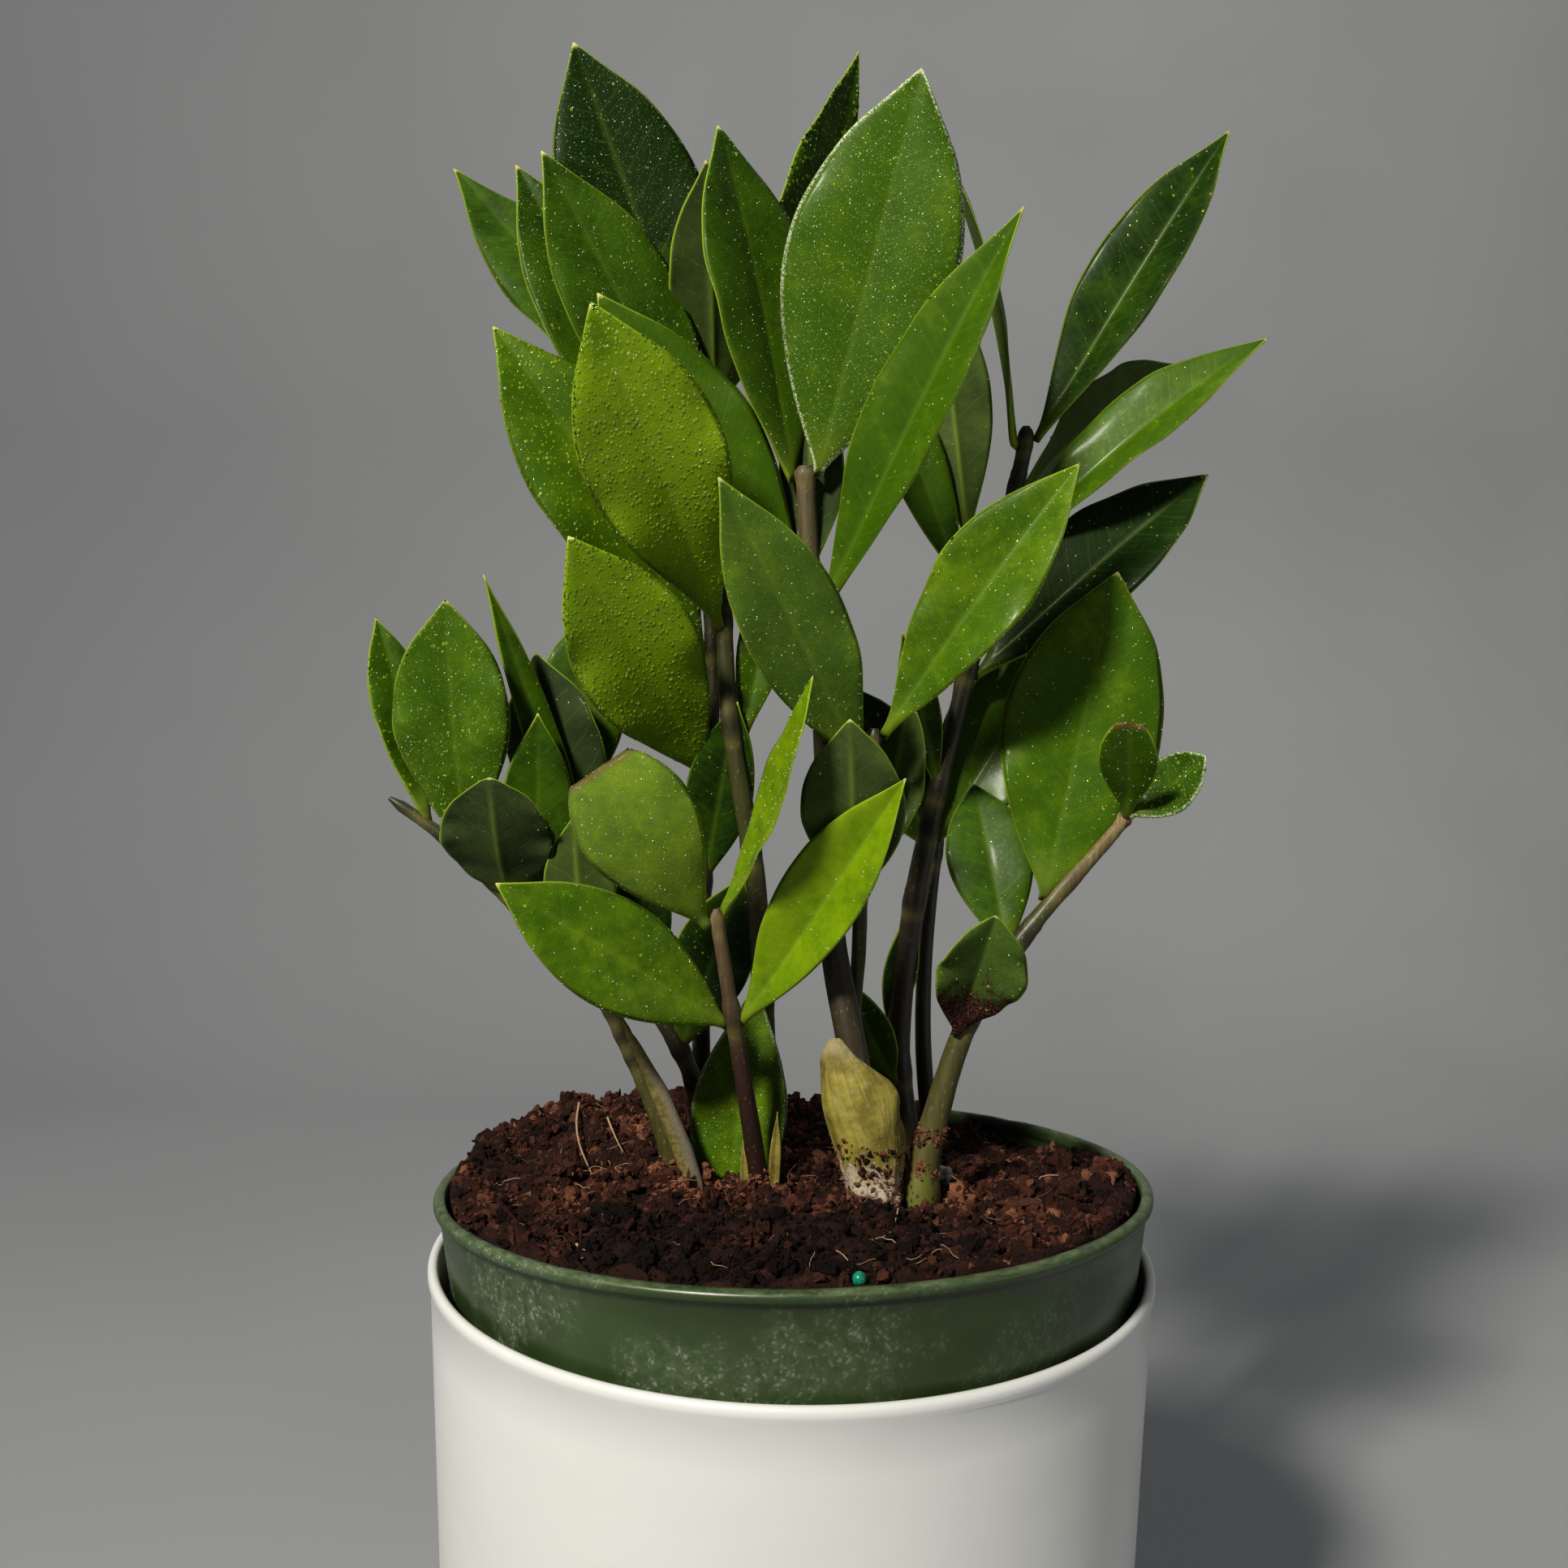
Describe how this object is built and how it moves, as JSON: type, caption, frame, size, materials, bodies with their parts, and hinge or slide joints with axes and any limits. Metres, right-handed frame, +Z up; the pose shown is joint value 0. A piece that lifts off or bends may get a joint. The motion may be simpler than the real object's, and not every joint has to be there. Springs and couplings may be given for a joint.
{
  "type": "potted ZZ plant",
  "caption": "Young ZZ plant: upright fleshy stems with glossy pointed leaves growing from soil in a tapered nursery pot that stands, leaning slightly, in a plain round cachepot.",
  "frame": {"origin": "middle of the cachepot's flat bottom, on the surface that it stands on", "axes": "+Z up along the cachepot's axis, -Y towards the front of the plant, +X to the right as seen from the front"},
  "size_m": [0.1982, 0.1534, 0.3921],
  "materials": {
    "cachepot": "satin",
    "nursery_pot": "satin",
    "soil": "matte",
    "leaf": "gloss",
    "stem_green": "satin",
    "stem_dark": "satin",
    "stem_purple": "satin",
    "spear_shoot": "satin",
    "scale_leaf": "matte"
  },
  "bodies": {
    "root": {"cachepot": "cachepot", "leaf_centre_1": "leaf", "leaf_centre_2": "leaf", "leaf_centre_3": "leaf", "leaf_centre_4": "leaf", "leaf_centre_short_1": "leaf", "leaf_centre_short_2": "leaf", "leaf_centre_short_3": "leaf", "leaf_centre_short_4": "leaf", "leaf_front_1": "leaf", "leaf_front_2": "leaf", "leaf_front_3": "leaf", "leaf_front_4": "leaf", "leaf_left_1": "leaf", "leaf_left_2": "leaf", "leaf_left_3": "leaf", "leaf_left_4": "leaf", "leaf_left_5": "leaf", "leaf_left_back_1": "leaf", "leaf_left_back_2": "leaf", "leaf_left_back_3": "leaf", "leaf_mid_left_1": "leaf", "leaf_mid_left_2": "leaf", "leaf_mid_left_3": "leaf", "leaf_right_back_1": "leaf", "leaf_right_back_2": "leaf", "leaf_right_short_1": "leaf", "leaf_right_short_2": "leaf", "leaf_right_short_3": "leaf", "leaf_right_short_4": "leaf", "leaf_right_short_5": "leaf", "leaf_right_tall_1": "leaf", "leaf_right_tall_2": "leaf", "leaf_right_tall_3": "leaf", "leaf_right_tall_4": "leaf", "leaf_right_tall_5": "leaf", "leaf_right_tall_6": "leaf", "leaf_right_tall_7": "leaf", "leaf_tall_left_1": "leaf", "leaf_tall_left_2": "leaf", "leaf_tall_left_3": "leaf", "leaf_tall_left_4": "leaf", "leaf_tall_left_5": "leaf", "leaf_tall_left_6": "leaf", "leaf_tall_left_7": "leaf", "leaf_tall_left_8": "leaf", "nursery_pot": "nursery_pot", "scale_leaf": "scale_leaf", "soil": "soil", "spear_shoot": "spear_shoot", "stem_centre": "stem_dark", "stem_centre_short": "stem_green", "stem_front": "stem_purple", "stem_left": "stem_green", "stem_left_back": "stem_dark", "stem_mid_left": "stem_dark", "stem_right_back": "stem_dark", "stem_right_short": "stem_green", "stem_right_tall": "stem_dark", "stem_tall_left": "stem_green"}
  },
  "joints": []
}
